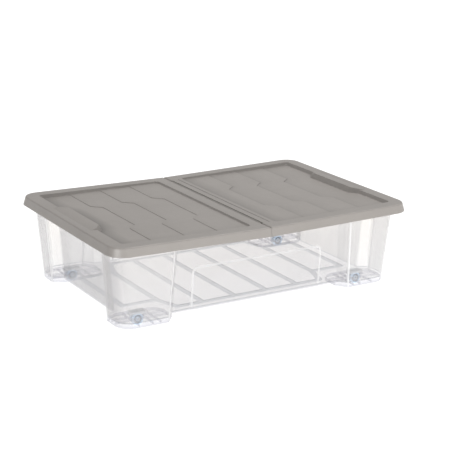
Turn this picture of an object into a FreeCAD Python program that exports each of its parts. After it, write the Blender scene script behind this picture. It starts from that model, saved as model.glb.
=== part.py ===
import FreeCAD, Part

# Under bed box: a clear tub on four wheels, with a lid in two halves that both clip onto a
# hinge strip across the middle.  Millimetres.  The origin is on the ground under the middle
# of the box, +X runs along the long side, +Y to the back and +Z up.

import math
import os

import Sketcher

SIZES = {
    # tub
    "tub_half_length": (283.4, "tub corner, centre to outer face, at the brim"),
    "tub_half_width": (180.9, "tub corner, centre to outer face, at the brim"),
    "tub_draft": (10.2, "how far the walls lean in from the brim to the foot rim"),
    "tub_corner_top": (31.0, "corner radius at the brim"),
    "tub_corner_low": (29.0, "corner radius at the foot rim"),
    "wall": (2.0, "wall and floor thickness"),
    "rim_height": (8.8, "foot rim above the ground"),
    "floor_height": (15.2, "underside of the floor above the ground"),
    "brim_height": (142.0, "underside of the brim above the ground"),
    "wall_inset": (20.0, "walls between the corner columns, behind the column faces"),
    "column_top": (178.0, "long side: centre to column edge at the brim"),
    "column_low": (185.0, "long side: centre to column edge at the foot rim"),
    "column_end": (114.0, "short side: centre to column edge"),
    "slant_long": (16.0, "run of a column's slanted side, long side"),
    "slant_end": (13.0, "run of a column's slanted side, short side"),
    "column_round": (5.0, "radius along a column's edges"),
    "brim_half_length": (292.0, "centre to the brim's outer edge"),
    "brim_half_width": (190.0, "centre to the brim's outer edge"),
    "brim_corner": (26.0, "corner radius of the brim"),
    "brim_notch": (12.0, "half the gap in the rim under the hinge"),
    "rim_clear": (0.4, "gap between the rim and the lid"),
    "band_width": (10.0, "raised bands on the floor"),
    "band_rise": (1.2, "height of the bands"),
    "band_pitch": (65.3, "spacing of the cross bands"),
    "band_front": (131.5, "centre to the band along a long side"),
    "band_foot": (84.0, "centre to the band beside a foot"),
    "band_jog": (148.0, "where the long side's band turns in"),
    "band_corner": (3.0, "corner radius of the closed band at its ends"),
    "band_bend": (6.0, "radius of the closed band's bends"),
    "panel_half": (131.0, "half the embossed panel's length"),
    "panel_top": (92.4, "top of the embossed panel above the ground"),
    "panel_rise": (1.2, "how far the panel stands out"),
    "panel_corner": (11.0, "corner radius of the panel"),
    "foot_round": (27.0, "inner corner radius of a foot"),
    "rib": (1.5, "thickness of the ribs under a foot"),
    "rib_lift": (1.0, "how far the ribs stop above the foot rim"),
    "rib_inner": (27.6, "wheel to the innermost rib across a foot"),
    # wheels
    "wheel_radius": (10.5, "wheel"),
    "wheel_width": (11.0, "wheel, over the hubs"),
    "tread_round": (1.2, "radius along the tread's edges"),
    "tyre_inset": (0.5, "how far the tyre's sides stand behind the hub's ends"),
    "small_edge": (0.4, "rounding of the wheel's and axle's small edges"),
    "small_root": (0.6, "rounding of small inner corners"),
    "hub_radius": (3.6, "hub"),
    "web_inset": (2.6, "how deep the wheel's sides are dished"),
    "tyre_depth": (2.9, "thickness of the rolling rim"),
    "wheel_along": (226.0, "centre to a wheel, along the box"),
    "wheel_across": (132.0, "centre to a wheel, across the box"),
    "axle_radius": (1.5, "wheel axle"),
    "axle_clear": (0.08, "radial gap between axle and wheel"),
    "wheel_gap": (0.5, "gap between a wheel and its cheeks"),
    "pocket_gap": (1.5, "gap above and beside a wheel"),
    "pocket_round": (1.0, "corner radius of the pocket round a wheel"),
    "cheek": (2.0, "walls that carry an axle"),
    "lug_radius": (4.0, "rounded end of a cheek round the axle"),
    "slot_width": (2.4, "snap-in slot for the axle"),
    # lid
    "lid_length": (600.0, "over both halves at the skirt's lower edge"),
    "lid_width": (395.0, "at the skirt's lower edge"),
    "lid_corner": (32.0, "corner radius"),
    "lid_low": (143.6, "skirt's lower edge above the ground at the outer ends"),
    "lid_height": (15.4, "height of the skirt and top"),
    "seam_sag": (4.5, "how much lower the seam is than the outer ends"),
    "skirt_flare": (4.3, "how far the skirt leans out"),
    "top_round": (3.5, "rounding of the top edge"),
    "plate": (2.0, "thickness of the lid"),
    "seam_gap": (0.3, "gap between the halves where they meet"),
    "border_end": (272.0, "centre to the recess at the outer end"),
    "border_side": (170.0, "centre to the recess at the long sides"),
    "border_seam": (24.5, "centre to the recess at the seam"),
    "recess_round": (8.0, "corner radius of the recess"),
    "recess_depth": (6.0, "recess at the outer end"),
    "recess_step": (0.9, "each terrace is this much shallower"),
    "recess_slope": (32.0, "degrees that the recess walls lean"),
    "grip_reach": (13.0, "how far the grip juts into the recess"),
    "grip_base": (77.0, "half the grip's length at its base"),
    "grip_tip": (62.0, "half the grip's length at its tip"),
    "grip_rise": (3.8, "height of the grip's inner edge over the border"),
    "grip_run": (12.0, "how far the grip slopes down onto the border"),
    "grip_round": (6.0, "corner radius of the grip"),
    "terrace_jog": (17.5, "how far a terrace edge steps in beside the grip"),
    "terrace_round": (4.0, "corner radius of a terrace edge"),
    # hinge
    "hinge_out": (6.6, "centre to each hinge axis"),
    "hinge_drop": (3.4, "hinge axis below the lid's top"),
    "bead_radius": (1.3, "beads on the hinge strip"),
    "bead_clear": (0.1, "radial gap between a bead and a hook"),
    "hook_radius": (3.0, "outside of a hook"),
    "hook_length": (26.0, "each hook"),
    "hook_pitch": (58.0, "spacing of the hooks"),
    "strip_wall": (1.2, "side walls of the strip's channel"),
    "strip_floor": (1.5, "floor of the strip's channel"),
    "strip_depth": (5.6, "underside of the channel below the hinge axes"),
    "strip_round": (0.8, "rounding of the channel's lower edges"),
    "groove_half_length": (163.0, "centre to the groove's end"),
    "groove_half_width": (3.0, "seam to the groove's edge"),
    "groove_round": (0.6, "rounding of the groove's edges"),
    "line_out": (15.2, "seam to the fine line on the right half"),
    "line_width": (1.2, "width of the fine line"),
    "line_depth": (0.6, "depth of the fine line"),
    "tongue_half_width": (1.5, "seam to each side of the strip's tongue"),
    "tongue_drop": (0.5, "top of the tongue below the lid's top"),
    "strip_end_gap": (4.0, "gap between the strip's end and the groove's end"),
}

HOOKS_PER_HALF = 5
TERRACES = 4
CROSS_BANDS = 3
HOOK_START, HOOK_END = -55.0, 145.0   # degrees round the hinge axis that a hook covers
CAVITY_OVERSHOOT = 20.0               # how far an open cut runs on past the solid
OVERLAP = 1.0                         # how far a feature runs into its neighbour
BAND_BEND_SHIFT = 0.7                 # tangent of half the closed band's bend
GRIP_END_SHIFT = 0.4                  # the same for the grip's slanted ends
NEAR = 0.01                           # tolerance when edges are picked by place
LEAST_CHANGE = 0.001                  # mm3 that a feature has to add or remove
SIDES = {"left": -1, "right": 1}
ENDS = {"front": -1, "back": 1}

doc = FreeCAD.newDocument("UnderBedBox")


# ---------------------------------------------------------------- driving dimensions

sheet = doc.addObject("Spreadsheet::Sheet", "Sizes")
for row, (alias, (number, meaning)) in enumerate(SIZES.items(), start=1):
    sheet.set(f"A{row}", alias)
    sheet.set(f"B{row}", repr(number))
    sheet.setAlias(f"B{row}", alias)
    sheet.set(f"C{row}", meaning)
doc.recompute()


class Size:
    """A number together with the sheet formula that gives it."""

    def __init__(self, value, formula):
        self.value = value
        self.formula = formula

    def __add__(self, other):
        other = as_size(other)
        return Size(self.value + other.value, f"({self.formula} + {other.formula})")

    def __sub__(self, other):
        other = as_size(other)
        return Size(self.value - other.value, f"({self.formula} - {other.formula})")

    def __mul__(self, other):
        other = as_size(other)
        return Size(self.value * other.value, f"({self.formula} * {other.formula})")

    def __truediv__(self, other):
        other = as_size(other)
        return Size(self.value / other.value, f"({self.formula} / {other.formula})")

    def __rsub__(self, other):
        return as_size(other) - self

    def __neg__(self):
        return self * -1

    __radd__ = __add__
    __rmul__ = __mul__


def as_size(item):
    """Give a plain number the same form as a size from the sheet."""
    return item if isinstance(item, Size) else Size(float(item), f"({float(item)!r})")


def size(alias):
    return Size(float(sheet.get(alias)), f"Sizes.{alias}")


def tangent(angle):
    """The tangent of an angle in degrees."""
    return Size(math.tan(math.radians(angle.value)), f"tan({angle.formula} * 1 deg)")


def arctangent(item):
    """The angle in degrees with this tangent."""
    return Size(math.degrees(math.atan(item.value)), f"(atan({item.formula}) / 1 deg)")


def root(item):
    return Size(math.sqrt(item.value), f"sqrt({item.formula})")


D = {alias: size(alias) for alias in SIZES}


# ---------------------------------------------------------------- drawing helpers

def bind(thing, property_name, amount):
    thing.setExpression(property_name, as_size(amount).formula)


def new_body(label):
    body = doc.addObject("PartDesign::Body", label)
    body.Label = label
    return body


def origin_feature(body, role):
    """One of the body's own origin planes or axes."""
    return [item for item in body.Origin.OriginFeatures if item.Role == role][0]


def new_sketch(body, plane, offset=0):
    """An empty sketch parallel to one of the body's own origin planes."""
    sketch = body.newObject("Sketcher::SketchObject", "Sketch")
    sketch.AttachmentSupport = (origin_feature(body, plane), [""])
    sketch.MapMode = "FlatFace"
    bind(sketch, "AttachmentOffset.Base.z", offset)
    return sketch


def constrain(sketch, kind, *where, amount=None, name=None):
    """Add a constraint, bound to the sheet when it has an amount."""
    if amount is None:
        return sketch.addConstraint(Sketcher.Constraint(kind, *where))
    amount = as_size(amount)
    index = sketch.addConstraint(Sketcher.Constraint(kind, *where, amount.value))
    sketch.renameConstraint(index, name)
    sketch.setExpression(f"Constraints.{name}", amount.formula)
    return index


def place_point(sketch, geometry, end, x, y):
    """Fix a point by its distances from the sketch's origin."""
    tag = f"{geometry}_{end}"
    constrain(sketch, "DistanceX", -1, 1, geometry, end, amount=x, name=f"across_{tag}")
    constrain(sketch, "DistanceY", -1, 1, geometry, end, amount=y, name=f"up_{tag}")


def outline(sketch, corners):
    """Draw a closed outline through corners (x, y, radius); radius 0 leaves a sharp corner."""
    count = len(corners)
    points = [FreeCAD.Vector(as_size(x).value, as_size(y).value, 0) for x, y, _ in corners]
    starts, ends, arcs = [], [], {}
    for i, point in enumerate(points):
        radius = as_size(corners[i][2]).value
        into = (point - points[i - 1]).normalize()
        out = (points[(i + 1) % count] - point).normalize()
        turn = math.atan2(into.x * out.y - into.y * out.x, into.dot(out))
        cut = radius * math.tan(abs(turn) / 2)
        starts.append(point - into * cut)
        ends.append(point + out * cut)
        if radius > 0:
            side = math.copysign(1, turn)
            centre = starts[i] + FreeCAD.Vector(-into.y, into.x, 0) * (side * radius)
            first, last = (starts[i], ends[i]) if turn > 0 else (ends[i], starts[i])
            angles = [math.atan2(p.y - centre.y, p.x - centre.x) for p in (first, last)]
            circle = Part.Circle(centre, FreeCAD.Vector(0, 0, 1), radius)
            arcs[i] = (Part.ArcOfCircle(circle, *angles), turn > 0)
    base = sketch.GeometryCount
    for i in range(count):
        sketch.addGeometry(Part.LineSegment(ends[i], starts[(i + 1) % count]))
    for i, (x, y, radius) in enumerate(corners):
        before, after = base + (i - 1) % count, base + i
        if i not in arcs:
            constrain(sketch, "Coincident", before, 2, after, 1)
            place_point(sketch, after, 1, x, y)
            continue
        arc, turns_left = arcs[i]
        bend = sketch.addGeometry(arc)
        first, last = (1, 2) if turns_left else (2, 1)
        constrain(sketch, "Tangent", before, 2, bend, first)
        constrain(sketch, "Tangent", bend, last, after, 1)
        constrain(sketch, "Radius", bend, amount=radius, name=f"radius_{bend}")
        corner = sketch.addGeometry(Part.Point(points[i]), True)
        constrain(sketch, "PointOnObject", corner, 1, before)
        constrain(sketch, "PointOnObject", corner, 1, after)
        place_point(sketch, corner, 1, x, y)


def box(sketch, x_low, x_high, y_low, y_high, radius=0):
    outline(sketch, [(x_low, y_low, radius), (x_high, y_low, radius),
                     (x_high, y_high, radius), (x_low, y_high, radius)])


def disc(sketch, x, y, radius):
    circle = sketch.addGeometry(Part.Circle(
        FreeCAD.Vector(as_size(x).value, as_size(y).value, 0),
        FreeCAD.Vector(0, 0, 1), as_size(radius).value))
    constrain(sketch, "Radius", circle, amount=radius, name=f"radius_{circle}")
    place_point(sketch, circle, 3, x, y)


def prism(body, kind, sketch, length, taper=0, symmetric=False, reverse=False):
    """A Pad or a Pocket of a sketch; it must really add or remove material."""
    before = body.Shape.Volume if not body.Shape.isNull() else 0.0
    feature = body.newObject(f"PartDesign::{kind}", kind)
    feature.Profile = sketch
    feature.Reversed = reverse
    if symmetric:
        feature.SideType = "Symmetric"
    bind(feature, "Length", length)
    if as_size(taper).value:
        bind(feature, "TaperAngle", taper)
    doc.recompute()
    change = body.Shape.Volume - before
    if (change > 0) != (kind == "Pad") or abs(change) < LEAST_CHANGE:
        raise RuntimeError(f"{body.Label}: {kind} changed the volume by {change:.3f}")
    return feature


def loft(body, kind, sketches):
    feature = body.newObject(f"PartDesign::{kind}Loft", f"{kind}Loft")
    feature.Profile = sketches[0]
    feature.Sections = sketches[1:]
    feature.Ruled = True
    doc.recompute()
    return feature


def fillet(body, radius, chosen):
    """Round the edges of the body's last feature that chosen(edge) picks."""
    last = body.Tip
    names = [f"Edge{i}" for i, edge in enumerate(last.Shape.Edges, start=1) if chosen(edge)]
    feature = body.newObject("PartDesign::Fillet", "Fillet")
    feature.Base = (last, names)
    bind(feature, "Radius", radius)
    doc.recompute()
    return feature


def revolve(body, sketch):
    """A full turn about the sketch's own horizontal axis."""
    feature = body.newObject("PartDesign::Revolution", "Revolution")
    feature.Profile = sketch
    feature.ReferenceAxis = (sketch, ["H_Axis"])
    feature.Angle = 360
    doc.recompute()
    return feature


def edge_heights(edge):
    box_ = edge.BoundBox
    return box_.ZMin, box_.ZMax


# ---------------------------------------------------------------- tub

WALL_RUN = D["brim_height"] + D["wall"] - D["rim_height"]


def lean(height):
    """How far the drafted walls have come in at a height above the ground."""
    return D["tub_draft"] * ((D["brim_height"] + D["wall"]) - height) / WALL_RUN


def between(low, top, height):
    """A size that changes evenly from the foot rim to the brim, at a height."""
    share = (as_size(height) - D["rim_height"]) / WALL_RUN
    return low + (top - low) * share


def slant_shifts(slant, depth, inset):
    """How far the two ends of a slanted side move when it is moved in by inset."""
    length = root(slant * slant + depth * depth)
    return inset * (length - slant) / depth, inset - inset * (length - depth) / slant


def tub_outline(height, inset):
    """The tub's plan at a height, moved in by inset: four corner columns and the walls between."""
    a = D["tub_half_length"] - lean(height) - inset
    b = D["tub_half_width"] - lean(height) - inset
    depth = D["wall_inset"]
    column = between(D["column_low"], D["column_top"], height)
    corner = between(D["tub_corner_low"], D["tub_corner_top"], height) - inset
    quadrant = []
    for slant, edge, face_a, face_b in (
            (D["slant_end"], D["column_end"], a - depth, a),
            (D["slant_long"], column, b - depth, b)):
        shift = slant_shifts(slant, depth, inset)[0]
        quadrant.append((face_a, edge - slant + shift, D["column_round"] + inset))
        quadrant.append((face_b, edge + shift, D["column_round"] - inset))
    (end_in, end_in_y, r_in), (end_out, end_out_y, r_out) = quadrant[:2]
    (side_in_y, side_in, _), (side_out_y, side_out, _) = quadrant[2:]
    first = [(end_in, end_in_y, r_in), (end_out, end_out_y, r_out), (a, b, corner),
             (side_out, side_out_y, r_out), (side_in, side_in_y, r_in)]
    second = [(-x, y, r) for x, y, r in reversed(first)]
    third = [(-x, -y, r) for x, y, r in first]
    fourth = [(x, -y, r) for x, y, r in reversed(first)]
    return first + second + third + fourth


def foot_outline(inset):
    """The back right foot's plan at the rim, moved in by inset: its column and inner corner."""
    height = D["rim_height"]
    a = D["tub_half_length"] - lean(height) - inset
    b = D["tub_half_width"] - lean(height) - inset
    depth, column = D["wall_inset"], D["column_round"] - inset
    long_top, long_low = slant_shifts(D["slant_long"], depth, inset)
    end_top, end_low = slant_shifts(D["slant_end"], depth, inset)
    inner_x = D["column_low"] - D["slant_long"] + inset
    inner_y = D["column_end"] - D["slant_end"] + inset
    return [
        (inner_x, inner_y, D["foot_round"] - inset),
        (a - depth + end_low, inner_y, 0),
        (a, D["column_end"] + end_top, column),
        (a, b, D["tub_corner_low"] - inset),
        (D["column_low"] + long_top, b, column),
        (inner_x, b - depth + long_low, 0),
    ]


def floor_band(outset):
    """The closed band round the floor, moved out by outset."""
    side, foot = D["band_front"] + outset, D["band_foot"] + outset
    far = D["band_pitch"] * 3.5 + outset
    shift, bend = outset * BAND_BEND_SHIFT, D["band_bend"]
    jog_low, jog_high = D["band_jog"] + shift, D["band_pitch"] * 2.5 + shift
    first = [(far, foot, D["band_corner"]), (jog_high, foot, bend), (jog_low, side, bend)]
    second = [(-x, y, r) for x, y, r in reversed(first)]
    third = [(-x, -y, r) for x, y, r in first]
    fourth = [(x, -y, r) for x, y, r in reversed(first)]
    return first + second + third + fourth


def add_tub_shell(body):
    """The four-column tub with its floor, brim and rim."""
    rim, brim_top = D["rim_height"], D["brim_height"] + D["wall"]
    floor_top = D["floor_height"] + D["wall"]
    low, high = new_sketch(body, "XY_Plane", rim), new_sketch(body, "XY_Plane", brim_top)
    outline(low, tub_outline(rim, as_size(0)))
    outline(high, tub_outline(brim_top, as_size(0)))
    loft(body, "Additive", [low, high])

    brim = new_sketch(body, "XY_Plane", D["brim_height"])
    box(brim, -D["brim_half_length"], D["brim_half_length"],
        -D["brim_half_width"], D["brim_half_width"], D["brim_corner"])
    rim_top = D["lid_low"] + D["lid_height"] - D["plate"] - D["brim_height"]
    prism(body, "Pad", brim, rim_top)

    inside = new_sketch(body, "XY_Plane", brim_top)
    box(inside, -D["brim_half_length"] + D["wall"], D["brim_half_length"] - D["wall"],
        -D["brim_half_width"] + D["wall"], D["brim_half_width"] - D["wall"],
        D["brim_corner"] - D["wall"])
    prism(body, "Pocket", inside, CAVITY_OVERSHOOT, reverse=True)

    low = new_sketch(body, "XY_Plane", floor_top)
    high = new_sketch(body, "XY_Plane", brim_top)
    outline(low, tub_outline(floor_top, D["wall"]))
    outline(high, tub_outline(brim_top, D["wall"]))
    loft(body, "Subtractive", [low, high])


def cut_rim_to_lid(body):
    """Slope the rim to follow the two halves of the lid, with a gap under the hinge."""
    half = D["brim_half_length"]
    under_seam = hinge_height() + D["hinge_drop"] - D["plate"] - D["rim_clear"]
    rise = D["seam_sag"] / (D["lid_length"] / 2)
    under_end = under_seam + rise * half
    top = under_end + CAVITY_OVERSHOOT
    above = new_sketch(body, "XZ_Plane")
    reach = half + CAVITY_OVERSHOOT
    outline(above, [(-reach, top, 0), (-reach, under_end + rise * CAVITY_OVERSHOOT, 0),
                    (0, under_seam, 0), (reach, under_end + rise * CAVITY_OVERSHOOT, 0),
                    (reach, top, 0)])
    prism(body, "Pocket", above, D["lid_width"] * 2, symmetric=True)
    notch = new_sketch(body, "XZ_Plane")
    box(notch, -D["brim_notch"], D["brim_notch"], D["brim_height"] + D["wall"], top)
    prism(body, "Pocket", notch, D["lid_width"] * 2, symmetric=True)


def cut_between_feet(body):
    """Raise the underside between the four feet."""
    inner_x = D["column_low"] - D["slant_long"]
    inner_y = D["column_end"] - D["slant_end"]
    far = D["lid_length"]
    first = [(far, inner_y, 0), (inner_x, inner_y, D["foot_round"]), (inner_x, far, 0)]
    second = [(-x, y, r) for x, y, r in reversed(first)]
    third = [(-x, -y, r) for x, y, r in first]
    fourth = [(x, -y, r) for x, y, r in reversed(first)]
    cross = new_sketch(body, "XY_Plane", D["rim_height"])
    outline(cross, first + second + third + fourth)
    prism(body, "Pocket", cross, D["floor_height"] - D["rim_height"], reverse=True)


def add_floor_bands(body):
    """Raised bands: one round the floor and six across it."""
    floor_top = D["floor_height"] + D["wall"]
    half = D["band_width"] / 2
    around = new_sketch(body, "XY_Plane", floor_top)
    outline(around, floor_band(half))
    outline(around, floor_band(-half))
    prism(body, "Pad", around, D["band_rise"])
    across = new_sketch(body, "XY_Plane", floor_top)
    for number in range(CROSS_BANDS):
        middle = D["band_pitch"] * (number + 0.5)
        reach = D["band_front"] if number < CROSS_BANDS - 1 else D["band_foot"]
        for side in SIDES.values():
            low, high = sorted((middle * side - half, middle * side + half),
                               key=lambda item: item.value)
            box(across, low, high, -reach, reach)
    prism(body, "Pad", across, D["band_rise"])


def add_side_panels(body):
    """The embossed panel on each long wall, standing out from the drafted face."""
    floor, top = D["floor_height"], D["panel_top"]
    rise = D["panel_rise"]
    for end in ENDS.values():
        profile = new_sketch(body, "YZ_Plane")
        corners = []
        for height, outset in ((floor, -OVERLAP), (floor, rise), (top, rise), (top, -OVERLAP)):
            face = D["tub_half_width"] - D["wall_inset"] - lean(height)
            corners.append(((face + outset) * end, height, 0))
        outline(profile, corners if end > 0 else list(reversed(corners)))
        prism(body, "Pad", profile, D["panel_half"] * 2, symmetric=True)

    def is_panel_corner(edge):
        low, high = edge_heights(edge)
        flat = edge.BoundBox
        near_top = abs((low + high) / 2 - top.value) < NEAR
        at_end = abs(abs(flat.Center.x) - D["panel_half"].value) < NEAR
        return near_top and at_end and flat.XLength < NEAR and flat.YLength > rise.value / 2

    fillet(body, D["panel_corner"], is_panel_corner)


def add_foot(body):
    """Hollow the back right foot from below and give it ribs, a wheel pocket and two cheeks."""
    rim, floor = D["rim_height"], D["floor_height"]
    x_mid, y_mid = D["wheel_along"], D["wheel_across"]
    inner_x = D["column_low"] - D["slant_long"] + OVERLAP
    inner_y = D["column_end"] - D["slant_end"] + OVERLAP
    outer_x = D["tub_half_length"] - D["tub_draft"] - OVERLAP
    outer_y = D["tub_half_width"] - D["tub_draft"] - OVERLAP
    pocket_x = D["wheel_radius"] + D["pocket_gap"]
    pocket_y = D["wheel_width"] / 2 + D["wheel_gap"]
    pocket_top = D["wheel_radius"] * 2 + D["pocket_gap"]
    cheek_y = pocket_y + D["cheek"]

    hollow = new_sketch(body, "XY_Plane", rim)
    outline(hollow, foot_outline(D["wall"]))
    features = [prism(body, "Pocket", hollow, floor - rim, reverse=True)]

    under = rim + D["rib_lift"]
    housing = new_sketch(body, "XY_Plane", under)
    box(housing, x_mid - pocket_x - D["wall"], x_mid + pocket_x + D["wall"],
        y_mid - cheek_y, y_mid + cheek_y, D["pocket_round"])
    features.append(prism(body, "Pad", housing, pocket_top + D["wall"] - under))

    half_rib = D["rib"] / 2
    long_ribs = new_sketch(body, "XY_Plane", under)
    for offset in (D["cheek"] / 2 - cheek_y, cheek_y - D["cheek"] / 2):
        box(long_ribs, inner_x, outer_x, y_mid + offset - half_rib, y_mid + offset + half_rib)
    features.append(prism(body, "Pad", long_ribs, floor - under))
    cross_ribs = new_sketch(body, "XY_Plane", under)
    beside = pocket_x + D["wall"] / 2
    for offset in (-beside, beside, -D["rib_inner"]):
        box(cross_ribs, x_mid + offset - half_rib, x_mid + offset + half_rib, inner_y, outer_y)
    features.append(prism(body, "Pad", cross_ribs, floor - under))

    lugs = new_sketch(body, "XZ_Plane", -y_mid)
    disc(lugs, x_mid, D["wheel_radius"], D["lug_radius"])
    features.append(prism(body, "Pad", lugs, cheek_y * 2, symmetric=True))
    well = new_sketch(body, "XY_Plane")
    box(well, x_mid - pocket_x, x_mid + pocket_x, y_mid - pocket_y, y_mid + pocket_y,
        D["pocket_round"])
    features.append(prism(body, "Pocket", well, pocket_top, reverse=True))

    bearing = new_sketch(body, "XZ_Plane", -y_mid)
    disc(bearing, x_mid, D["wheel_radius"], D["axle_radius"])
    features.append(prism(body, "Pocket", bearing, cheek_y * 2 + OVERLAP, symmetric=True))
    slot = new_sketch(body, "XZ_Plane", -y_mid)
    half_slot = D["slot_width"] / 2
    box(slot, x_mid - half_slot, x_mid + half_slot, 0, D["wheel_radius"])
    features.append(prism(body, "Pocket", slot, cheek_y * 2 + OVERLAP, symmetric=True))
    return features


def mirror_both_ways(body, features):
    """Repeat features across the box's two middle planes."""
    pattern = body.newObject("PartDesign::MultiTransform", "MultiTransform")
    pattern.Originals = features
    steps = []
    for plane in ("YZ_Plane", "XZ_Plane"):
        step = doc.addObject("PartDesign::Mirrored", "Mirrored")
        step.MirrorPlane = (origin_feature(body, plane), [""])
        steps.append(step)
    pattern.Transformations = steps
    body.Tip = pattern
    doc.recompute()


def make_tub():
    body = new_body("tub")
    add_tub_shell(body)
    cut_rim_to_lid(body)
    cut_between_feet(body)
    add_floor_bands(body)
    add_side_panels(body)
    mirror_both_ways(body, add_foot(body))
    return body


# ---------------------------------------------------------------- wheels and axles

def make_wheel(side_name, end_name):
    """A dished wheel that turns about Y, drawn as half a section and turned round its bore."""
    body = new_body(f"wheel_{end_name}_{side_name}")
    half = D["wheel_width"] / 2
    bore = D["axle_radius"] + D["axle_clear"]
    tyre_inner = D["wheel_radius"] - D["tyre_depth"]
    web = half - D["web_inset"]
    tyre_side = half - D["tyre_inset"]
    edge, inner, tread = D["small_edge"], D["small_root"], D["tread_round"]
    section = new_sketch(body, "YZ_Plane")
    right = [(half, bore, 0), (half, D["hub_radius"], edge), (web, D["hub_radius"], inner),
             (web, tyre_inner, inner), (tyre_side, tyre_inner, edge),
             (tyre_side, D["wheel_radius"], tread)]
    outline(section, right + [(-y, z, r) for y, z, r in reversed(right)])
    revolve(body, section)
    return place_wheel_part(body, side_name, end_name)


def make_axle(side_name, end_name):
    """A plain pin with rounded ends, as long as the cheeks are wide."""
    body = new_body(f"axle_{end_name}_{side_name}")
    half = D["wheel_width"] / 2 + D["wheel_gap"] + D["cheek"]
    section = new_sketch(body, "YZ_Plane")
    outline(section, [(-half, 0, 0), (half, 0, 0), (half, D["axle_radius"], D["small_edge"]),
                      (-half, D["axle_radius"], D["small_edge"])])
    revolve(body, section)
    return place_wheel_part(body, side_name, end_name)


def place_wheel_part(body, side_name, end_name):
    bind(body, "Placement.Base.x", D["wheel_along"] * SIDES[side_name])
    bind(body, "Placement.Base.y", D["wheel_across"] * ENDS[end_name])
    bind(body, "Placement.Base.z", D["wheel_radius"])
    return body


# ---------------------------------------------------------------- lid

def hinge_height():
    """The hinge axes above the ground: the outer ends of the lid stand at lid_low."""
    reach = D["lid_length"] / 2 - D["hinge_out"]
    rise = D["seam_sag"] / (D["lid_length"] / 2) * reach
    return D["lid_low"] + D["lid_height"] - D["hinge_drop"] - rise


def from_hinge(distance):
    """A distance from the seam, measured from the half's own hinge axis instead."""
    return distance - D["hinge_out"]


def terrace_edge(number):
    """Distance from the seam to the edge between two terraces."""
    run = D["border_end"] - D["border_seam"]
    return D["border_seam"] + run * number / TERRACES


def grip_line(x, reach, half_base, half_tip, radius):
    """Points up a line across the lid that steps towards the seam beside the grip."""
    inner = x - reach
    return [(x, -half_base, radius), (inner, -half_tip, radius),
            (inner, half_tip, radius), (x, half_base, radius)]


def recess_outline(number, shrink):
    """The recess beyond the edge of a terrace, with its outer walls moved in by shrink."""
    base, tip = D["grip_base"], D["grip_tip"]
    spread = shrink * GRIP_END_SHIFT
    end = from_hinge(D["border_end"]) - shrink
    side = D["border_side"] - shrink
    outer = [(end, -side, D["recess_round"])]
    outer += grip_line(end, D["grip_reach"], base + spread, tip + spread, D["grip_round"])
    outer += [(end, side, D["recess_round"])]
    if number == 0:
        start = from_hinge(D["border_seam"]) + shrink
        return outer + [(start, side, D["recess_round"]), (start, -side, D["recess_round"])]
    start = from_hinge(terrace_edge(number))
    inner = grip_line(start, D["terrace_jog"], base, tip, D["terrace_round"])
    return outer + [(start, side, 0)] + list(reversed(inner)) + [(start, -side, 0)]


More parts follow.
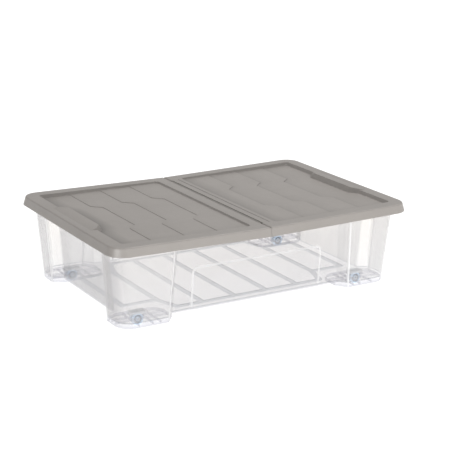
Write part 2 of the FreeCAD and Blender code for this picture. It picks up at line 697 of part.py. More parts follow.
def make_lid_half(side_name):
    """One half of the lid, drawn flat with its hinge axis along Y through the origin."""
    body = new_body(f"lid_{side_name}")
    top = D["hinge_drop"]
    low = top - D["lid_height"]
    seam = from_hinge(D["seam_gap"] / 2)
    end = from_hinge(D["lid_length"] / 2)
    side = D["lid_width"] / 2
    wall = D["plate"]
    flare = D["skirt_flare"]

    lean_in = arctangent(flare / D["lid_height"])
    past_seam = seam - CAVITY_OVERSHOOT

    def skirt(inset):
        """The half's plan at the skirt's lower edge, moved in by inset, running past the seam."""
        sketch = new_sketch(body, "XY_Plane", low)
        corner = D["lid_corner"] - inset
        outline(sketch, [(past_seam, inset - side, 0), (end - inset, inset - side, corner),
                         (end - inset, side - inset, corner), (past_seam, side - inset, 0)])
        return sketch

    prism(body, "Pad", skirt(0), D["lid_height"], taper=-lean_in)
    beyond = new_sketch(body, "XY_Plane", low)
    box(beyond, past_seam - OVERLAP, seam, -side, side)
    prism(body, "Pocket", beyond, D["lid_height"], reverse=True)
    fillet(body, D["top_round"], lambda edge: edge_heights(edge)[0] > top.value - NEAR)
    prism(body, "Pocket", skirt(wall), D["lid_height"] - wall, taper=-lean_in, reverse=True)

    slope = tangent(D["recess_slope"])
    for number in range(TERRACES):
        depth = D["recess_depth"] - D["recess_step"] * (TERRACES - 1 - number)
        tray = new_sketch(body, "XY_Plane", top - depth - wall)
        outline(tray, recess_outline(number, slope * depth - wall))
        prism(body, "Pad", tray, depth + wall - OVERLAP, taper=D["recess_slope"])
    for number in range(TERRACES):
        start = D["recess_depth"] - D["recess_step"] * (TERRACES - number)
        if number == 0:
            start = as_size(0)
        depth = D["recess_depth"] - D["recess_step"] * (TERRACES - 1 - number)
        well = new_sketch(body, "XY_Plane", top - start)
        outline(well, recess_outline(number, slope * start))
        prism(body, "Pocket", well, depth - start, taper=-D["recess_slope"])

    add_grip(body)

    groove = new_sketch(body, "XY_Plane", top + OVERLAP)
    groove_edge = from_hinge(D["groove_half_width"])
    box(groove, seam - OVERLAP, groove_edge, -D["groove_half_length"], D["groove_half_length"])
    prism(body, "Pocket", groove, wall + 2 * OVERLAP)
    fillet(body, D["groove_round"], lambda edge: (
        edge_heights(edge)[0] > top.value - wall.value / 2
        and abs(edge.BoundBox.XMin - groove_edge.value) < NEAR
        and edge.BoundBox.XLength < NEAR))
    if side_name == "right":
        line = new_sketch(body, "XY_Plane", top)
        start = from_hinge(D["line_out"])
        box(line, start, start + D["line_width"],
            -D["groove_half_length"], D["groove_half_length"])
        prism(body, "Pocket", line, D["line_depth"])

    add_hooks(body)
    tilt = math.degrees(math.asin(SIZES["seam_sag"][0] / (SIZES["lid_length"][0] / 2)))
    lift_end = FreeCAD.Rotation(FreeCAD.Vector(0, 1, 0), -tilt)
    turn = FreeCAD.Rotation(FreeCAD.Vector(0, 0, 1), 0 if SIDES[side_name] > 0 else 180)
    body.Placement = FreeCAD.Placement(FreeCAD.Vector(), turn * lift_end)
    bind(body, "Placement.Base.x", D["hinge_out"] * SIDES[side_name])
    bind(body, "Placement.Base.z", hinge_height())
    return body


def add_grip(body):
    """A grip that rises from the border to its inner edge, over the middle of the short end."""
    top = D["hinge_drop"]
    border = from_hinge(D["border_end"])
    outer, inner = border + D["grip_run"], border - D["grip_reach"]
    block = new_sketch(body, "XY_Plane", top)
    inner_line = grip_line(border, D["grip_reach"], D["grip_base"], D["grip_tip"],
                           D["grip_round"])
    outline(block, [(outer, -D["grip_base"], 0), (outer, D["grip_base"], 0)]
            + list(reversed(inner_line)))
    prism(body, "Pad", block, D["grip_rise"] + OVERLAP, taper=-D["recess_slope"])
    above = new_sketch(body, "XZ_Plane")
    peak = top + D["grip_rise"]
    ceiling = peak + 3 * OVERLAP
    past_outer, past_inner = outer + 2 * OVERLAP, inner - 2 * OVERLAP
    outline(above, [(past_outer, ceiling, 0), (past_outer, top, 0), (outer - OVERLAP, top, 0),
                    (inner, peak, 0), (past_inner, peak, 0), (past_inner, ceiling, 0)])
    prism(body, "Pocket", above, D["lid_width"], symmetric=True)


def add_hooks(body):
    """Hooks under the top that wrap a bead of the hinge strip, open towards the channel."""
    inner, outer = D["bead_radius"] + D["bead_clear"], D["hook_radius"]
    reach = D["hook_pitch"] * (HOOKS_PER_HALF - 1)
    ring = new_sketch(body, "XZ_Plane", reach / 2)
    start, end = math.radians(HOOK_START), math.radians(HOOK_END)
    axis = FreeCAD.Vector(0, 0, 1)
    arcs = [Part.ArcOfCircle(Part.Circle(FreeCAD.Vector(), axis, radius.value), start, end)
            for radius in (inner, outer)]
    inside, outside = [ring.addGeometry(arc) for arc in arcs]
    ends = [(arcs[0].value(arc_end), arcs[1].value(arc_end)) for arc_end in (start, end)]
    edges = [ring.addGeometry(Part.LineSegment(*pair)) for pair in ends]
    for which, edge in zip((1, 2), edges):
        constrain(ring, "Coincident", inside, which, edge, 1)
        constrain(ring, "Coincident", outside, which, edge, 2)
    for arc, radius in ((inside, inner), (outside, outer)):
        constrain(ring, "Coincident", arc, 3, -1, 1)
        constrain(ring, "Radius", arc, amount=radius, name=f"radius_{arc}")
    for edge in edges:
        constrain(ring, "PointOnObject", -1, 1, edge)
    for name, angle, edge in zip(("start", "end"), (start, end), edges):
        constrain(ring, "DistanceY", -1, 1, edge, 2, name=f"hook_{name}",
                  amount=outer * math.sin(angle))
    first = prism(body, "Pad", ring, D["hook_length"], symmetric=True)
    row = body.newObject("PartDesign::LinearPattern", "LinearPattern")
    row.Originals = [first]
    row.Direction = (origin_feature(body, "Y_Axis"), [""])
    bind(row, "Length", reach)
    row.Occurrences = HOOKS_PER_HALF
    body.Tip = row
    doc.recompute()


def make_hinge_strip():
    """The channel across the middle of the lid: a bead along each side and a tongue between."""
    body = new_body("hinge_strip")
    half_length = D["groove_half_length"] - D["strip_end_gap"]
    out, wall = D["hinge_out"], D["strip_wall"] / 2
    deep, floor = -D["strip_depth"], D["strip_floor"] - D["strip_depth"]
    tongue = D["tongue_half_width"]
    peak = D["hinge_drop"] - D["tongue_drop"]
    channel = new_sketch(body, "XZ_Plane")
    low, inner = D["strip_round"], D["small_root"]
    right = [(out + wall, deep, low), (out + wall, 0, 0), (out - wall, 0, 0),
             (out - wall, floor, inner), (tongue, floor, inner), (tongue, peak, inner)]
    outline(channel, right + [(-x, z, r) for x, z, r in reversed(right)])
    prism(body, "Pad", channel, half_length * 2, symmetric=True)
    beads = new_sketch(body, "XZ_Plane")
    for side in SIDES.values():
        disc(beads, out * side, 0, D["bead_radius"])
    prism(body, "Pad", beads, half_length * 2, symmetric=True)
    bind(body, "Placement.Base.z", hinge_height())
    return body


# ---------------------------------------------------------------- build, check and write

parts = [make_tub()]
for end_name in ENDS:
    for side_name in SIDES:
        parts.append(make_wheel(side_name, end_name))
        parts.append(make_axle(side_name, end_name))
parts += [make_lid_half(side_name) for side_name in SIDES]
parts.append(make_hinge_strip())
doc.recompute()

for item in doc.Objects:
    if "Invalid" in item.State or "Error" in item.State:
        raise RuntimeError(f"{item.Name} ({item.Label}) failed: {item.State}")
for part in parts:
    if part.Shape.isNull() or not part.Shape.isValid() or len(part.Shape.Solids) != 1:
        raise RuntimeError(f"{part.Label} is not one valid solid")

os.makedirs("parts", exist_ok=True)
for part in parts:
    part.Shape.exportStep(f"parts/{part.Label}.step")
    bounds = part.Shape.BoundBox
    print(f"{part.Label}: {part.Shape.Volume / 1000:.1f} cm3, "
          f"x {bounds.XMin:.1f}..{bounds.XMax:.1f}, y {bounds.YMin:.1f}..{bounds.YMax:.1f}, "
          f"z {bounds.ZMin:.1f}..{bounds.ZMax:.1f}")
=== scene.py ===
import math

import bpy
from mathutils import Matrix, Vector


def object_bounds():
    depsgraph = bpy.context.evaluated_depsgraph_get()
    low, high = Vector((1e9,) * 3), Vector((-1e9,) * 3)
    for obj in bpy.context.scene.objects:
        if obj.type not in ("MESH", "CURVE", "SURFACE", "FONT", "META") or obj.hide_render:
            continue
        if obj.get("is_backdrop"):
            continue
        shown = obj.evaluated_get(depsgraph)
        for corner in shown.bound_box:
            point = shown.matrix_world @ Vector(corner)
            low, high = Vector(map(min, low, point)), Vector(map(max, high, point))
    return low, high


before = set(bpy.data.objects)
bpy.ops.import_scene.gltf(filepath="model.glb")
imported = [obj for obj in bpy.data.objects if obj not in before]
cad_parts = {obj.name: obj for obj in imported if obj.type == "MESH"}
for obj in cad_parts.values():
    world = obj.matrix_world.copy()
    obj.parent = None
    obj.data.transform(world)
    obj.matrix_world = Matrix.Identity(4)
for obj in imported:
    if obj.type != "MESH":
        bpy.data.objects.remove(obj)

MM = 0.001

# the camera: where it looks, how it is turned in degrees, how far back it stands, its lens
# and sensor in millimetres, and the farthest thing it sees
AIM = Vector((-0.0469, -0.12735, 0.1436))
AZIMUTH, ELEVATION, ROLL = -31.158, 16.6466, 0.817
DISTANCE = 2.2988
LENS, SENSOR_WIDTH = 105.3, 36.0
FARTHEST = 100.0

# places on the tub and the wheels that their materials follow: heights above the ground,
# distances from the middle, widths and radii. They repeat the sizes of the CAD model, so a
# change there has to be made here too.
FLOOR_TOP = 17.2 * MM
BAND_RISE = 1.2 * MM
RIM_HEIGHT = 8.8 * MM
WALL_TOP = 144 * MM
PANEL_HALF = 131 * MM
PANEL_TOP = 92.4 * MM
PANEL_CORNER = 11 * MM
PANEL_WALL = (146 * MM, 166 * MM)
COLUMN_LOW, COLUMN_TOP = 185 * MM, 178 * MM
COLUMN_END = 114 * MM
COLUMN_FACE_X, COLUMN_FACE_Y = 270 * MM, 168 * MM
EDGE_LINE = 2.0 * MM
WHEEL_X, WHEEL_Y, WHEEL_RADIUS = 226 * MM, 132 * MM, 10.5 * MM
WHEEL_SEAM = 1.4 * MM
FOOT_RIM = 12.5 * MM
NO_FIGHT = 0.25 * MM  # keeps a height test clear of the faces at that height
HOUSING, HOUSING_TOP = 17 * MM, (20.5 * MM, 27 * MM)

# every noise texture keeps nearly all of its values between these
NOISE_LOW, NOISE_HIGH = 0.3, 0.7

# opaque moulded plastic: its darkest and palest colour, and how far its roughness drifts
LID_COLOURS = (0.336, 0.311, 0.29), (0.353, 0.327, 0.305)
STRIP_COLOURS = (0.3, 0.28, 0.255), (0.315, 0.295, 0.27)
SMOOTHER, ROUGHER = 0.05, 0.06

# painted shade in the crevices of the lid and the hinge strip: occlusion that leans to the left,
# as if lit from the left
SHADE_LEAN = (-0.9, -0.2, 0.0)
LEAN_LOSS = 0.132     # how much of the leaning view a flat top blocks by itself
FLAT_TOP = 0.95       # a face is flat when its normal's height is over this
FLAT_SHADE, WALL_SHADE, DARKEST_SHADE = 1.5, 0.25, 0.55

# the clear plastic: how one pass through a surface tints the light, by place
CLEAR_LOW, CLEAR_HIGH = (0.992, 0.991, 0.992), (0.99, 0.98, 0.968)
# painted shade: the end walls' grey tint stands in for their milky veil lying in shade under the
# lid
END_SHADE_TINT, END_POWER = (0.885, 0.88, 0.882), 5.0
FOOT_TINT, RIM_TINT = (0.945, 0.942, 0.958), (0.9, 0.9, 0.925)
BAND_TINT = (0.73, 0.74, 0.76)
VEIL_COLOURS = (0.9, 0.9, 0.907), (0.95, 0.95, 0.956)
# how much of it is milky, seen straight on and edge on, and what each place adds
MILK_AHEAD, MILK_EDGE_ON, MILK_POWER = 0.03, 0.6, 6.0
STREAKS_LEAST, STREAKS_MOST = 0.04, 0.24
FOOT_MILK, COLUMN_MILK, HOUSING_MILK = 0.03, 0.13, 0.5
# painted highlight: how much opaque white runs along the panel's and the columns' edges
EDGE_HIGHLIGHT = 0.7
# and how much it reflects
GLOSS_AHEAD, GLOSS_EDGE_ON, GLOSS_POWER = 0.035, 0.6, 5.0
GLOSS_ROUGHNESS = 0.12

# wheel colours from the hub to the rolling rim, by share of the radius; the pale hub and the
# pale rolling rim are painted highlights
WHEEL_TONES_AND_HIGHLIGHTS = ((0.34, (0.68, 0.82, 0.95)), (0.4, (0.03, 0.06, 0.1)),
               (0.68, (0.05, 0.09, 0.15)), (0.76, (0.55, 0.72, 0.9)))
WHEEL_GLOW = 0.35     # the wheels give off light, in place of what passes through them
WHEEL_DRIFT = (0.88, 1.05)
SEAM_SHADE = 0.3      # brightness of the painted shade along the groove around the middle of the wheel
STEEL_COLOURS = (0.42, 0.42, 0.43), (0.6, 0.6, 0.61)

# the stage: name, place, width and height, watts, and whether it only makes highlights
LIGHTS = (("key", (0.9, 0.6, 3.0), (2.4, 2.4), 50, False),
          ("front", (0.1, -2.4, 0.08), (2.2, 0.14), 24, False),
          ("glint", (-2.1, -1.3, 0.3), (1.0, 0.8), 55, True))
LIGHT_AIM = (0, 0, 0.08)
FLOOR_HALF = 30.0
FLOOR_COLOURS = (0.2, 0.2, 0.2), (0.205, 0.205, 0.205)
FLOOR_GLOW = 1.0      # the floor gives off light too, so that it stays white
WORLD_GLOW = 0.48


def write_sizes(name, sizes):
    sizes[name] = [[round(x, 6) for x in corner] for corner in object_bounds()]


# ------------------------------------------------------------------ shader nodes

def new_material(name, roughness, specular=0.5):
    """A material, its node tree and its Principled shader."""
    material = bpy.data.materials.new(name)
    material.use_nodes = True
    tree = material.node_tree
    shader = tree.nodes["Principled BSDF"]
    shader.inputs["Roughness"].default_value = roughness
    shader.inputs["Specular IOR Level"].default_value = specular
    return material, tree, shader


def add_node(tree, kind, **settings):
    """A new node; each setting is one of its inputs or else one of its attributes."""
    node = tree.nodes.new(kind)
    for key, value in settings.items():
        if key in node.inputs:
            node.inputs[key].default_value = value
        else:
            setattr(node, key, value)
    return node


def feed(tree, sockets, values):
    """Give each input a value: linked when it is another node's output, else set."""
    for socket, value in zip(sockets, values):
        if isinstance(value, bpy.types.NodeSocket):
            tree.links.new(value, socket)
        else:
            socket.default_value = value


def math_node(tree, operation, *values, clamp=False):
    """One Math node; its values are sockets or plain numbers."""
    node = add_node(tree, "ShaderNodeMath", operation=operation, use_clamp=clamp)
    feed(tree, node.inputs, values)
    return node.outputs["Value"]


def vector_node(tree, operation, *values):
    """One Vector Math node; its values are sockets or plain vectors."""
    node = add_node(tree, "ShaderNodeVectorMath", operation=operation)
    feed(tree, node.inputs, values)
    return node.outputs["Vector"]


def scaled(tree, vector, factor):
    """A vector or a colour times a number."""
    node = add_node(tree, "ShaderNodeVectorMath", operation="SCALE")
    feed(tree, (node.inputs[0], node.inputs["Scale"]), (vector, factor))
    return node.outputs["Vector"]


def split(tree, vector):
    """The x, y and z of a vector."""
    node = add_node(tree, "ShaderNodeSeparateXYZ")
    tree.links.new(vector, node.inputs["Vector"])
    return node.outputs["X"], node.outputs["Y"], node.outputs["Z"]


def length(tree, first, second):
    """The length of a vector that has these two parts."""
    squares = [math_node(tree, "MULTIPLY", part, part) for part in (first, second)]
    return math_node(tree, "SQRT", math_node(tree, "ADD", *squares))


def between(tree, source, low, high):
    """1 where low < source < high, else 0."""
    above = math_node(tree, "GREATER_THAN", source, low)
    under = math_node(tree, "LESS_THAN", source, high)
    return math_node(tree, "MULTIPLY", above, under)


def mix_shaders(tree, factor, first, second):
    """Blend two shaders; factor is a socket or a plain number."""
    node = add_node(tree, "ShaderNodeMixShader")
    feed(tree, node.inputs, (factor, first, second))
    return node.outputs["Shader"]


def mix_colour(tree, factor, first, second):
    """Blend two colours; each is a socket or a plain colour."""
    node = add_node(tree, "ShaderNodeMix", data_type="RGBA")
    tree.links.new(factor, node.inputs["Factor"])
    sockets = [socket for socket in node.inputs if socket.type == "RGBA"]
    feed(tree, sockets, [(*colour, 1) if isinstance(colour, tuple) else colour
                         for colour in (first, second)])
    return [socket for socket in node.outputs if socket.type == "RGBA"][0]


def noise(tree, scale, detail, stretch=None):
    """A noise texture in object space, scale in cells per metre."""
    source = add_node(tree, "ShaderNodeTexCoord").outputs["Object"]
    if stretch:
        mapping = add_node(tree, "ShaderNodeMapping", Scale=stretch)
        tree.links.new(source, mapping.inputs["Vector"])
        source = mapping.outputs["Vector"]
    texture = add_node(tree, "ShaderNodeTexNoise", Scale=scale, Detail=detail)
    tree.links.new(source, texture.inputs["Vector"])
    return texture.outputs["Fac"]


def ramp(tree, source, colours):
    """Turn a noise value into a colour between a low and a high one."""
    node = add_node(tree, "ShaderNodeValToRGB")
    for stop, place, colour in zip(node.color_ramp.elements, (NOISE_LOW, NOISE_HIGH), colours):
        stop.position = place
        stop.color = (*colour, 1)
    tree.links.new(source, node.inputs["Fac"])
    return node.outputs["Color"]


def spread(tree, source, low, high):
    """Move a 0..1 value to low..high."""
    node = add_node(tree, "ShaderNodeMapRange")
    node.inputs["To Min"].default_value = low
    node.inputs["To Max"].default_value = high
    tree.links.new(source, node.inputs["Value"])
    return node.outputs["Result"]


def bump(tree, shader, source, depth, edge=0.0):
    """Raise the surface by a texture, depth in metres, with edges softened by a small radius."""
    node = add_node(tree, "ShaderNodeBump", Strength=1.0, Distance=depth)
    tree.links.new(source, node.inputs["Height"])
    if edge:
        soft = add_node(tree, "ShaderNodeBevel", samples=6, Radius=edge)
        tree.links.new(soft.outputs["Normal"], node.inputs["Normal"])
    tree.links.new(node.outputs["Normal"], shader.inputs["Normal"])


# ------------------------------------------------------------------ places on the box

def position(tree):
    """A point's distance from the middle along and across the box, and its height, at rest."""
    x, y, z = split(tree, add_node(tree, "ShaderNodeTexCoord").outputs["Object"])
    return math_node(tree, "ABSOLUTE", x), math_node(tree, "ABSOLUTE", y), z


def line_mask(tree, distance):
    """1 where a distance is 0, fading out over the width of a moulded edge."""
    off = math_node(tree, "DIVIDE", math_node(tree, "ABSOLUTE", distance), EDGE_LINE)
    return math_node(tree, "SUBTRACT", 1.0, off, clamp=True)


def near_panel_edge(tree, along, across, height):
    """1 along the outline of the embossed panel on the long walls, fading out from it: where a
    painted highlight goes.
    """
    side = math_node(tree, "SUBTRACT", along, PANEL_HALF - PANEL_CORNER)
    above = math_node(tree, "SUBTRACT", height, PANEL_TOP - PANEL_CORNER)
    outside = length(tree, math_node(tree, "MAXIMUM", side, 0.0),
                     math_node(tree, "MAXIMUM", above, 0.0))
    inside = math_node(tree, "MINIMUM", math_node(tree, "MAXIMUM", side, above), 0.0)
    distance = math_node(tree, "SUBTRACT", math_node(tree, "ADD", outside, inside),
                         PANEL_CORNER)
    on_wall = between(tree, across, *PANEL_WALL)
    over_band = math_node(tree, "GREATER_THAN", height, FLOOR_TOP + 2 * BAND_RISE)
    place = math_node(tree, "MULTIPLY", on_wall, over_band)
    return math_node(tree, "MULTIPLY", line_mask(tree, distance), place)


def near_column_edge(tree, along, across, height):
    """1 along the upright edges of the four corner columns, where a painted highlight goes."""
    slope = (COLUMN_TOP - COLUMN_LOW) / (WALL_TOP - RIM_HEIGHT)
    side = math_node(tree, "SUBTRACT", along, COLUMN_LOW - slope * RIM_HEIGHT)
    side = math_node(tree, "SUBTRACT", side, math_node(tree, "MULTIPLY", height, slope))
    end = math_node(tree, "SUBTRACT", across, COLUMN_END)
    on_side = math_node(tree, "GREATER_THAN", across, COLUMN_FACE_Y)
    on_end = math_node(tree, "GREATER_THAN", along, COLUMN_FACE_X)
    side_edge = math_node(tree, "MULTIPLY", line_mask(tree, side), on_side)
    end_edge = math_node(tree, "MULTIPLY", line_mask(tree, end), on_end)
    return math_node(tree, "MAXIMUM", side_edge, end_edge)


def on_column(tree, along, across, foot):
    """1 on the corner columns' faces on the long sides, above the feet."""
    far = math_node(tree, "GREATER_THAN", along, COLUMN_LOW)
    outer = math_node(tree, "GREATER_THAN", across, COLUMN_FACE_Y)
    face = math_node(tree, "MULTIPLY", far, outer)
    return math_node(tree, "SUBTRACT", face, foot, clamp=True)


def end_wall(tree):
    """1 on surfaces that face along the box, 0 on those that face up or across."""
    normal = add_node(tree, "ShaderNodeTexCoord").outputs["Normal"]
    return math_node(tree, "POWER", math_node(tree, "ABSOLUTE", split(tree, normal)[0]),
                     END_POWER)


def over_wheel(tree, along, across, height):
    """1 on the top of the four wheel housings."""
    along = math_node(tree, "SUBTRACT", along, WHEEL_X)
    across = math_node(tree, "SUBTRACT", across, WHEEL_Y)
    place = math_node(tree, "MULTIPLY", between(tree, along, -HOUSING, HOUSING),
                      between(tree, across, -HOUSING, HOUSING))
    return math_node(tree, "MULTIPLY", place, between(tree, height, *HOUSING_TOP))


# ------------------------------------------------------------------ materials

def paint_crevice_shade(tree, colour, reach):
    """Paint shade into a colour: multiply it by how open the surface is within reach.

    Flat tops look leaning to the left, so that a step beside them is darkened softly by painted
    shade, as from a light on the left. The lean is fixed in the world: it follows neither
    lights nor camera, and it is off on a lid half that is raised.
    """
    normal = add_node(tree, "ShaderNodeNewGeometry").outputs["Normal"]
    flat = math_node(tree, "GREATER_THAN", split(tree, normal)[2], FLAT_TOP)
    leaning = vector_node(tree, "ADD", normal, scaled(tree, SHADE_LEAN, flat))
    open_sky = add_node(tree, "ShaderNodeAmbientOcclusion", samples=16, Distance=reach)
    tree.links.new(vector_node(tree, "NORMALIZE", leaning), open_sky.inputs["Normal"])
    own = math_node(tree, "MULTIPLY", flat, LEAN_LOSS)
    lost = math_node(tree, "SUBTRACT", 1.0, math_node(tree, "ADD", open_sky.outputs["AO"], own))
    strength = spread(tree, flat, WALL_SHADE, FLAT_SHADE)
    left = math_node(tree, "SUBTRACT", 1.0, math_node(tree, "MULTIPLY", lost, strength))
    return scaled(tree, colour, math_node(tree, "MAXIMUM", left, DARKEST_SHADE))


def moulded(name, colours, roughness, grain, depth, edge, shade_reach):
    """Opaque moulded plastic: faint colour drift, fine grain, softened edges, painted crevice
    shade.
    """
    material, tree, shader = new_material(name, roughness)
    colour = ramp(tree, noise(tree, scale=18, detail=3), colours)
    # painted shade: the base colour is darkened in crevices and beside steps
    tree.links.new(paint_crevice_shade(tree, colour, shade_reach), shader.inputs["Base Color"])
    gloss = spread(tree, noise(tree, scale=60, detail=3), roughness - SMOOTHER,
                   roughness + ROUGHER)
    tree.links.new(gloss, shader.inputs["Roughness"])
    bump(tree, shader, noise(tree, scale=grain, detail=2), depth, edge)
    return material


def tub_tint(tree, height, ends, foot):
    """How a pass through the clear plastic tints light, by height and place; the end walls' grey
    is painted shade.
    """
    share = math_node(tree, "DIVIDE", height, WALL_TOP, clamp=True)
    rim = math_node(tree, "LESS_THAN", height, FOOT_RIM)
    band = between(tree, height, FLOOR_TOP + NO_FIGHT, FLOOR_TOP + BAND_RISE + NO_FIGHT)
    tint = mix_colour(tree, share, CLEAR_LOW, CLEAR_HIGH)
    for mask, colour in ((ends, END_SHADE_TINT), (foot, FOOT_TINT), (rim, RIM_TINT),
                         (band, BAND_TINT)):
        tint = mix_colour(tree, mask, tint, colour)
    return tint


def tub_milk(tree, facing, places):
    """How much of the clear plastic is milky: more edge on, and more at each given place."""
    share = spread(tree, math_node(tree, "POWER", facing, MILK_POWER), MILK_AHEAD,
                   MILK_EDGE_ON)
    for mask, amount in places:
        share = math_node(tree, "ADD", share, math_node(tree, "MULTIPLY", mask, amount))
    return share


def clear_plastic():
    """Clear polypropylene: see-through, milky where it is thick or seen edge on, soft gloss,
    painted highlights on edges, painted shade on the end walls.
    """
    material, tree, shader = new_material("clear_polypropylene", 0.25)
    veil = ramp(tree, noise(tree, scale=9, detail=3), VEIL_COLOURS)
    tree.links.new(veil, shader.inputs["Base Color"])
    bump(tree, shader, noise(tree, scale=30, detail=2), 0.12 * MM, 0.8 * MM)
    glow = add_node(tree, "ShaderNodeBsdfTranslucent")
    tree.links.new(veil, glow.inputs["Color"])
    milk = mix_shaders(tree, 0.5, shader.outputs["BSDF"], glow.outputs["BSDF"])

    facing = add_node(tree, "ShaderNodeLayerWeight", Blend=0.5).outputs["Facing"]
    along, across, height = position(tree)
    ends = end_wall(tree)
    foot = math_node(tree, "LESS_THAN", height, FLOOR_TOP - NO_FIGHT)
    streaks = spread(tree, noise(tree, scale=130, detail=2, stretch=(1, 1, 0.02)),
                     STREAKS_LEAST, STREAKS_MOST)
    through = add_node(tree, "ShaderNodeBsdfTransparent")
    tree.links.new(tub_tint(tree, height, ends, foot), through.inputs["Color"])
    share = tub_milk(tree, facing, (
        (ends, streaks), (foot, FOOT_MILK),
        (on_column(tree, along, across, foot), COLUMN_MILK),
        (over_wheel(tree, along, across, height), HOUSING_MILK)))
    veiled = mix_shaders(tree, share, through.outputs["BSDF"], milk)
    # painted highlights: opaque white lines along the panel outline and the column edges
    edges = math_node(tree, "MAXIMUM", near_panel_edge(tree, along, across, height),
                      near_column_edge(tree, along, across, height))
    edges = math_node(tree, "MULTIPLY", edges, EDGE_HIGHLIGHT)
    veiled = mix_shaders(tree, edges, veiled, shader.outputs["BSDF"])

    gloss = add_node(tree, "ShaderNodeBsdfGlossy", Roughness=GLOSS_ROUGHNESS)
    reflected = spread(tree, math_node(tree, "POWER", facing, GLOSS_POWER), GLOSS_AHEAD,
                       GLOSS_EDGE_ON)
    surface = mix_shaders(tree, reflected, veiled, gloss.outputs["BSDF"])
    tree.links.new(surface, tree.nodes["Material Output"].inputs["Surface"])
    return material


def wheel_plastic():
    """Blue grey moulded wheel that glows a little: painted highlights on hub and rolling rim,
    darker web, painted shade along the middle groove.
    """
    material, tree, shader = new_material("wheel_plastic", 0.22)
    along, across, height = position(tree)
    radius = length(tree, math_node(tree, "SUBTRACT", along, WHEEL_X),
                    math_node(tree, "SUBTRACT", height, WHEEL_RADIUS))
    tones_and_highlights = add_node(tree, "ShaderNodeValToRGB")
    stops = tones_and_highlights.color_ramp.elements
    for place, colour in WHEEL_TONES_AND_HIGHLIGHTS:
        stops.new(place).color = (*colour, 1)
    stops.remove(stops[0])  # the two stops at the ends were there from the start
    stops.remove(stops[-1])
    tree.links.new(math_node(tree, "DIVIDE", radius, WHEEL_RADIUS), tones_and_highlights.inputs["Fac"])
    # painted shade: the middle of the rolling rim is darkened as if the tread there lay in
    # shadow
    middle = math_node(tree, "SUBTRACT", across, WHEEL_Y)
    groove_shade = math_node(tree, "LESS_THAN", math_node(tree, "ABSOLUTE", middle), WHEEL_SEAM)
    drift = spread(tree, noise(tree, scale=90, detail=3), *WHEEL_DRIFT)
    drift = math_node(tree, "MULTIPLY", drift, spread(tree, groove_shade, 1.0, SEAM_SHADE))
    colour = scaled(tree, tones_and_highlights.outputs["Color"], drift)
    tree.links.new(colour, shader.inputs["Base Color"])
    tree.links.new(colour, shader.inputs["Emission Color"])
    shader.inputs["Emission Strength"].default_value = WHEEL_GLOW
    bump(tree, shader, noise(tree, scale=300, detail=2), 0.05 * MM, 0.4 * MM)
    return material


def steel():
    """Drawn wire, with fine scratches along the pin."""
    material, tree, shader = new_material("axle_steel", 0.3)
    shader.inputs["Metallic"].default_value = 1.0
    drawn = noise(tree, scale=400, detail=2, stretch=(1, 0.05, 1))
    tree.links.new(ramp(tree, drawn, STEEL_COLOURS), shader.inputs["Base Color"])
    bump(tree, shader, drawn, 0.03 * MM)
    return material


def dress(node, material):
    """Give a node's mesh one material."""
    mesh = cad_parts[node].data
    mesh.materials.clear()
    mesh.materials.append(material)


def dress_all():
    """Give every node the material of its kind, which is the first word of its name."""
    lid = moulded("lid_grey", LID_COLOURS, roughness=0.42, grain=900, depth=0.12 * MM,
                  edge=1.1 * MM, shade_reach=30 * MM)
    strip = moulded("strip_grey", STRIP_COLOURS, roughness=0.5, grain=900, depth=0.1 * MM,
                    edge=0.3 * MM, shade_reach=10 * MM)
    wheel, tub, pin = wheel_plastic(), clear_plastic(), steel()
    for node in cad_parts:
        kind = node.split("_")[0]
        dress(node, {"lid": lid, "hinge": strip, "wheel": wheel, "tub": tub, "axle": pin}[kind])


# ------------------------------------------------------------------ stage, light and camera

def floor_material():
    """White paper, bright even under the box, as on a light table."""
    material, tree, shader = new_material("floor_white", 0.8, 0.1)
    tint = ramp(tree, noise(tree, scale=3, detail=2), FLOOR_COLOURS)
    tree.links.new(tint, shader.inputs["Base Color"])
    shader.inputs["Emission Color"].default_value = (1, 1, 1, 1)
    shader.inputs["Emission Strength"].default_value = FLOOR_GLOW
    return material


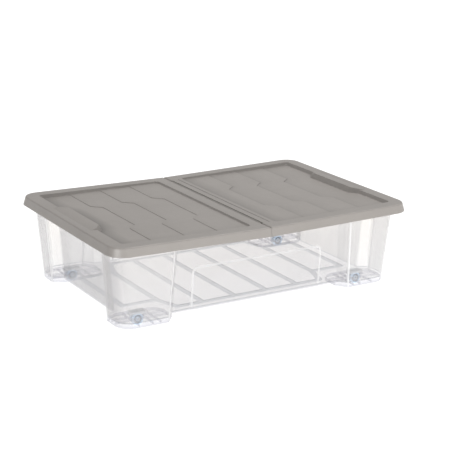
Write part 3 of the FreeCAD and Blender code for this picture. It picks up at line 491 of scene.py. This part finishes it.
def add_floor():
    """A wide pale sheet under the box."""
    corners = [(x * FLOOR_HALF, y * FLOOR_HALF, 0)
               for x, y in ((-1, -1), (1, -1), (1, 1), (-1, 1))]
    mesh = bpy.data.meshes.new("floor")
    mesh.from_pydata(corners, [], [(0, 1, 2, 3)])
    floor = bpy.data.objects.new("floor", mesh)
    floor.data.materials.append(floor_material())
    bpy.context.scene.collection.objects.link(floor)
    floor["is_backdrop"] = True


def add_light(name, place, size, power, gloss_only):
    """A square-cornered area light that the camera doesn't see, aimed at the box."""
    data = bpy.data.lights.new(name, "AREA")
    data.shape = "RECTANGLE"
    data.size, data.size_y = size
    data.energy = power
    light = bpy.data.objects.new(name, data)
    light.location = place
    direction = Vector(LIGHT_AIM) - Vector(place)
    light.rotation_euler = direction.to_track_quat("-Z", "Y").to_euler()
    light.visible_camera = False
    light.visible_diffuse = not gloss_only
    bpy.context.scene.collection.objects.link(light)


def add_lights():
    """The area lights, and an even white light from all around."""
    for light in LIGHTS:
        add_light(*light)
    world = bpy.data.worlds.new("studio")
    bpy.context.scene.world = world
    world.use_nodes = True
    background = world.node_tree.nodes["Background"]
    background.inputs["Color"].default_value = (1, 1, 1, 1)
    background.inputs["Strength"].default_value = WORLD_GLOW


def add_camera():
    """The camera of the main view, turned around the aim and rolled about its own axis."""
    turn, tilt, roll = (math.radians(angle) for angle in (AZIMUTH, ELEVATION, ROLL))
    back = Vector((math.sin(turn) * math.cos(tilt), -math.cos(turn) * math.cos(tilt),
                   math.sin(tilt)))
    right = (-back).cross(Vector((0, 0, 1))).normalized()
    up = right.cross(-back)
    rolled_right = math.cos(roll) * right + math.sin(roll) * up
    rolled_up = math.cos(roll) * up - math.sin(roll) * right
    data = bpy.data.cameras.new("camera")
    data.lens = LENS
    data.sensor_width = SENSOR_WIDTH
    data.clip_end = FARTHEST
    camera = bpy.data.objects.new("camera", data)
    matrix = camera.matrix_world.copy()
    for column, vector in enumerate((rolled_right, rolled_up, back, AIM + back * DISTANCE)):
        for row in range(3):
            matrix[row][column] = vector[row]
    camera.matrix_world = matrix
    bpy.context.scene.collection.objects.link(camera)
    bpy.context.scene.camera = camera


sizes = {}
write_sizes("loaded", sizes)
dress_all()
add_floor()
add_lights()
add_camera()
bpy.context.scene.view_settings.view_transform = "Standard"
write_sizes("finished", sizes)
